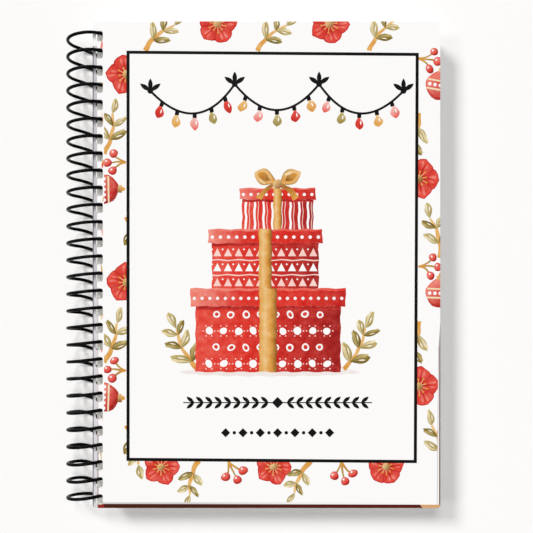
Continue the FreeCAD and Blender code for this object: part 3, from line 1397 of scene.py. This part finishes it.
# The coil's sums follow, each with its name, its operation and its terms.
# Where a point of the wire lies: its turn, its quarter of that turn and its share of the quarter.
WINDING: Rows = (
    ("per quarter", "DIVIDE", "Steps", 4.0),
    ("run so far", "DIVIDE", "Index", "per quarter"),
    ("quarters", "SUBTRACT", "run so far", "Lead In"),
    ("turns so far", "DIVIDE", "quarters", 4.0),
    ("turn", "FLOOR", "turns so far"),
    ("whole quarters", "MULTIPLY", "turn", 4.0),
    ("phase", "SUBTRACT", "quarters", "whole quarters"),
    ("quarter", "FLOOR", "phase"),
    ("share", "SUBTRACT", "phase", "quarter"),
    ("to go", "SUBTRACT", 1.0, "share"),
    ("end of turns", "SUBTRACT", "Turns", 1.5),
    ("last turn", "GREATER_THAN", "turn", "end of turns"),
    ("advance", "MULTIPLY", "turn", "Pitch"),
)
# How far it drifts along the spine in one quarter: two bends, which meet at the split.
DRIFT: Rows = (
    ("rest", "SUBTRACT", 1.0, "split"),
    ("first pull", "MULTIPLY", "split", "start slope"),
    ("pulls", "MULTIPLY_ADD", "rest", "end slope", "first pull"),
    ("rise", "SUBTRACT", "end", "start"),
    ("twice", "MULTIPLY", "rise", 2.0),
    ("steep", "SUBTRACT", "twice", "pulls"),
    ("first gain", "SUBTRACT", "steep", "start slope"),
    ("first part", "MULTIPLY", "split", 2.0),
    ("first bend", "DIVIDE", "first gain", "first part"),
    ("first rate", "MULTIPLY_ADD", "first bend", "share", "start slope"),
    ("early", "MULTIPLY_ADD", "first rate", "share", "start"),
    ("last loss", "SUBTRACT", "end slope", "steep"),
    ("last part", "MULTIPLY", "rest", 2.0),
    ("last bend", "DIVIDE", "last loss", "last part"),
    ("last gain", "MULTIPLY", "last bend", "to go"),
    ("last rate", "SUBTRACT", "last gain", "end slope"),
    ("late", "MULTIPLY_ADD", "last rate", "to go", "end"),
    ("past split", "GREATER_THAN", "share", "split"),
    ("change", "SUBTRACT", "late", "early"),
    ("bent", "MULTIPLY_ADD", "change", "past split", "early"),
    ("straight", "MULTIPLY_ADD", "start slope", "share", "start"),
    ("spare", "SUBTRACT", "straight", "bent"),
    ("drift", "MULTIPLY_ADD", "spare", "runs out", "bent"),
    ("here", "COMPARE", "quarter", "number", 0.5),
    ("advance", "MULTIPLY_ADD", "drift", "here", "advance"),
)
# The quarters that drift: over the crown, down the open side, and under the back cover, where the last
# turn runs out. Each gives its own values to the terms named as roles.
ROLES = ("number", "start", "start slope", "end", "end slope", "split", "runs out")
QUARTERS: Rows = (
    (1.0, 0.0, 0.0, "Crown Drift", "Crown Slope", 0.5, 0.0),
    (2.0, "Crown Drift", "Crown Slope", "Side Drift", "Side Slope", 0.5, 0.0),
    (3.0, "Side Drift", "Side Slope", "Pitch", 0.0, "Crossing Split", "last turn"),
)
# The point itself, and the number of points.
PLACING: Rows = (
    ("begun", "GREATER_THAN", "turn", -0.5),
    ("along", "MULTIPLY", "advance", "begun"),
    ("y", "SUBTRACT", "First Wire Y", "along"),
    ("from crown", "SUBTRACT", "quarters", 0.5),
    ("angle", "MULTIPLY", "from crown", math.pi / 2),
    ("hump", "MULTIPLY", "share", "to go"),
    ("swell", "MULTIPLY", "hump", 4.0),
    ("below", "GREATER_THAN", "quarter", 2.5),
    ("bulge", "MULTIPLY", "below", "Crossing Bulge"),
    ("radius", "MULTIPLY_ADD", "swell", "bulge", "Coil Radius"),
    ("across", "COSINE", "angle"),
    ("x", "MULTIPLY_ADD", "across", "radius", "Axis X"),
    ("up", "SINE", "angle"),
    ("z", "MULTIPLY_ADD", "up", "radius", "Axis Z"),
    ("wound", "MULTIPLY", "Turns", 4.0),
    ("between ends", "SUBTRACT", "wound", 1.0),
    ("leads", "ADD", "Lead In", "Lead Out"),
    ("run", "ADD", "between ends", "leads"),
    ("steps", "MULTIPLY", "run", "per quarter"),
    ("count", "ADD", "steps", 1.0),
)


@dataclass
class BindingCoil:
    """Plastic coil through the row of holes, as a rule of angle along the spine, in millimetres."""

    node: str = "binding_coil"
    axis_x: float = -60.9325
    axis_z: float = 8.1828
    coil_radius: float = 7.4
    wire_radius: float = 0.6
    turns: int = 28
    pitch: float = 6.27
    crown_drift: float = 1.05
    crown_lead: float = 0.85
    side_drift: float = 2.3
    side_lead: float = 0.7
    crossing_split: float = 0.77
    crossing_bulge: float = 0.18
    head_run: float = 37.5
    tail_run: float = 67.5
    steps_per_turn: int = 48
    wire_sides: int = 12

    def sizes(self) -> dict[str, float]:
        """List the sizes that drive the coil's tree.

        Returns:
            Each input's value, in metres where it is a length and in quarter turns where it is a lead.
        """
        quarter = math.pi / 2
        return {
            "Axis X": self.axis_x * MM,
            "Axis Z": self.axis_z * MM,
            "Coil Radius": self.coil_radius * MM,
            "Wire Radius": self.wire_radius * MM,
            "Pitch": self.pitch * MM,
            "First Wire Y": self.pitch * (self.turns - 1) / 2 * MM,
            "Crown Drift": self.crown_drift * MM,
            "Crown Slope": self.crown_lead * quarter * MM,
            "Side Drift": self.side_drift * MM,
            "Side Slope": self.side_lead * quarter * MM,
            "Crossing Split": self.crossing_split,
            "Crossing Bulge": self.crossing_bulge * MM,
            "Turns": float(self.turns),
            "Lead In": self.head_run / 90,
            "Lead Out": self.tail_run / 90,
            "Steps": float(self.steps_per_turn),
        }

    def tree(self, finish: bpy.types.Material) -> tuple[Tree, dict[str, str]]:
        """Build the tree that winds the wire.

        Args:
            finish: Material of the wire.

        Returns:
            The tree, and the identifier of each named input.
        """
        tree = bpy.data.node_groups.new("wound_coil", "GeometryNodeTree")
        tree.interface.new_socket("Geometry", in_out="OUTPUT", socket_type="NodeSocketGeometry")
        identifiers = {}
        for name in self.sizes():
            socket = tree.interface.new_socket(name, in_out="INPUT", socket_type="NodeSocketFloat")
            identifiers[name] = socket.identifier
        given = add_node(tree, "NodeGroupInput").outputs
        terms = {name: given[name] for name in identifiers}
        terms["Index"] = add_node(tree, "GeometryNodeInputIndex").outputs[0]
        drifts = [(DRIFT, dict(zip(ROLES, quarter))) for quarter in QUARTERS]
        for sums, roles in ((WINDING, {}), *drifts, (PLACING, {})):
            terms.update({role: terms.get(part, part) for role, part in roles.items()})
            for name, operation, *parts in sums:
                inputs = {number: terms.get(part, part) for number, part in enumerate(parts)}
                terms[name] = add_node(tree, "ShaderNodeMath", inputs, operation=operation).outputs[0]
        place = {number: terms[name] for number, name in enumerate("xyz")}
        spot = add_node(tree, "ShaderNodeCombineXYZ", place).outputs[0]
        line = add_node(tree, "GeometryNodeMeshLine", {"Count": terms["count"]}).outputs[0]
        curve = add_node(tree, "GeometryNodeMeshToCurve", {0: line}).outputs[0]
        wound = add_node(tree, "GeometryNodeSetPosition", {"Geometry": curve, "Position": spot}).outputs[0]
        ring = add_node(tree, "GeometryNodeCurvePrimitiveCircle", {
            "Resolution": self.wire_sides, "Radius": given["Wire Radius"],
        }).outputs[0]
        wire = add_node(tree, "GeometryNodeCurveToMesh", {
            "Curve": wound, "Profile Curve": ring, "Fill Caps": True,
        }).outputs[0]
        real = add_node(tree, "GeometryNodeRealizeInstances", {0: wire}).outputs[0]
        dressed = add_node(tree, "GeometryNodeSetMaterial", {"Geometry": real, "Material": finish})
        add_node(tree, "NodeGroupOutput", {0: dressed.outputs[0]})
        return tree, identifiers

    def build(self, finish: bpy.types.Material) -> bpy.types.Object:
        """Wind the coil, make it a plain mesh and remove what held its modifier.

        Args:
            finish: Material of the wire.

        Returns:
            The coil, riding with the back cover.
        """
        tree, identifiers = self.tree(finish)
        holder = bpy.data.objects.new("coil_holder", bpy.data.meshes.new("coil_holder"))
        bpy.context.scene.collection.objects.link(holder)
        modifier = holder.modifiers.new("wind", "NODES")
        modifier.node_group = tree
        for name, value in self.sizes().items():
            modifier[identifiers[name]] = value
        bpy.context.view_layer.update()
        graph = bpy.context.evaluated_depsgraph_get()
        mesh = bpy.data.meshes.new_from_object(holder.evaluated_get(graph))
        mesh.name = "plastic_coil"
        holder.modifiers.clear()
        bpy.data.objects.remove(holder)
        # The caps are the only faces without four corners, and stay flat.
        for polygon in mesh.polygons:
            polygon.use_smooth = len(polygon.vertices) == 4
        return place_piece(mesh, "binding", "coil_plastic", self.node)


@dataclass
class LeafStack:
    """Back cover, pocket pages and pockets, which keep their CAD shapes."""

    page_count: int = 6
    flap_width: float = 6.0
    page: PaperStock = PaperStock()
    back: PaperStock = PaperStock(
        name="coated_back_card", face="#F6F4F2", fibre="#F1EFEC", cut="#E6E2DE", roughness=0.5,
    )
    pocket: PaperStock = PaperStock(
        name="glued_pocket_paper", face="#F1ECE2", fibre="#E9E2D5", cut="#D2C8B6", fibre_mm=0.9,
    )

    def pocket_finish(self, name: str) -> bpy.types.Material:
        """Build pocket paper with the crease of one pocket's flaps.

        Args:
            name: The pocket's node.

        Returns:
            The pocket's finish.
        """
        low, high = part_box(name)
        flap = self.flap_width * MM
        return self.pocket.material((low.x + flap, high.x - flap, low.y + flap))

    def dress(self) -> None:
        """Give each sheet its stock."""
        stocks = {"back_cover": self.back.material()}
        page = self.page.material()
        for number in range(1, self.page_count + 1):
            stocks[f"page_{number}"] = page
            for place in ("upper", "lower"):
                name = f"pocket_{number}_{place}"
                stocks[name] = self.pocket_finish(name)
        for name, stock in stocks.items():
            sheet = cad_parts[name]
            sheet.data.materials.clear()
            sheet.data.materials.append(stock)
            LOG.info("%s: %s", name, stock.name)


@dataclass(frozen=True)
class Lamp:
    """A soft lamp, so far off that it lights the whole floor alike, with its spread in degrees."""

    name: str
    source: tuple[float, float, float]
    share: float
    spread: float = 15.0

    def hang(self) -> None:
        """Hang the lamp so that a level white surface gets its share of white from it."""
        towards = Vector(self.source).normalized()
        light = bpy.data.lights.new(self.name, "SUN")
        light.angle = math.radians(self.spread)
        light.energy = self.share * math.pi / towards.z
        holder = bpy.data.objects.new(self.name, light)
        holder.rotation_euler = (-towards).to_track_quat("-Z", "Y").to_euler()
        bpy.context.scene.collection.objects.link(holder)


@dataclass
class Studio:
    """Camera straight above the cover, a pale floor, soft far lamps and an even sky, in millimetres.

    The lamps' shares and the sky's strength add up to about 1, so that a white floor is shown white.
    """

    image_pixels: int = 533
    pixels_per_mm: float = 2.737
    camera_x: float = 5.435
    camera_y: float = -0.66
    camera_distance: float = 282.0
    sensor_width: float = 36.0
    clip_start: float = 10.0
    floor_size: float = 4000.0
    sky: str = "#FDFCFB"
    sky_strength: float = 0.16
    lamps: tuple[Lamp, ...] = (
        Lamp("overhead", (0.0, 0.0, 1.0), 0.215),
        Lamp("key", (-0.75, 0.75, 1.0), 0.35),
        Lamp("head_fill", (-0.15, 0.62, 1.0), 0.19),
        Lamp("spine_fill", (-0.78, 0.12, 1.0), 0.088),
    )

    def camera(self) -> None:
        """Set the camera so that the cover has its size in the picture."""
        lens = bpy.data.cameras.new("camera")
        lens.sensor_width = self.sensor_width
        lens.lens = self.pixels_per_mm * self.camera_distance / self.image_pixels * self.sensor_width
        lens.clip_start = self.clip_start * MM
        cover_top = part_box("front_cover")[1].z
        holder = bpy.data.objects.new("camera", lens)
        holder.location = (self.camera_x * MM, self.camera_y * MM, cover_top + self.camera_distance * MM)
        bpy.context.scene.collection.objects.link(holder)
        bpy.context.scene.camera = holder

    def floor(self) -> None:
        """Lay the floor under the coil."""
        half = self.floor_size * MM / 2
        mesh = bpy.data.meshes.new("floor")
        mesh.from_pydata([(x, y, 0) for x, y in panel(-half, -half, half, half)], [], [[0, 1, 2, 3]])
        mesh.materials.append(TableTop().material())
        floor = bpy.data.objects.new("floor", mesh)
        bpy.context.scene.collection.objects.link(floor)

    def lights(self) -> None:
        """Hang the lamps under an even sky, which is as pale as the floor where it is seen or mirrored."""
        world = bpy.data.worlds.new("sky")
        bpy.context.scene.world = world
        world.use_nodes = True
        tree = world.node_tree
        tree.nodes.clear()
        path = add_node(tree, "ShaderNodeLightPath").outputs
        seen = path["Is Camera Ray"]
        for ray in ("Is Glossy Ray", "Is Transmission Ray"):
            seen = add_node(tree, "ShaderNodeMath", {0: seen, 1: path[ray]}, operation="MAXIMUM").outputs[0]
        strength = add_node(tree, "ShaderNodeMapRange", {
            "Value": seen, "To Min": self.sky_strength, "To Max": 1.0,
        }).outputs["Result"]
        sky = add_node(tree, "ShaderNodeBackground", {"Color": linear(self.sky), "Strength": strength})
        add_node(tree, "ShaderNodeOutputWorld", {"Surface": sky.outputs[0]})
        for lamp in self.lamps:
            lamp.hang()

    def build(self) -> None:
        """Set the view, the floor and the lights."""
        bpy.context.scene.view_settings.view_transform = "Standard"
        self.camera()
        self.floor()
        self.lights()


def main() -> None:
    """Build the studio and the book."""
    logging.basicConfig(level=logging.INFO, format="%(name)s: %(message)s")
    Studio().build()
    LeafStack().dress()
    FrontCover().build(CoatedCard().material())
    BindingCoil().build(CoilFilament().material())


if __name__ == "__main__":
    main()
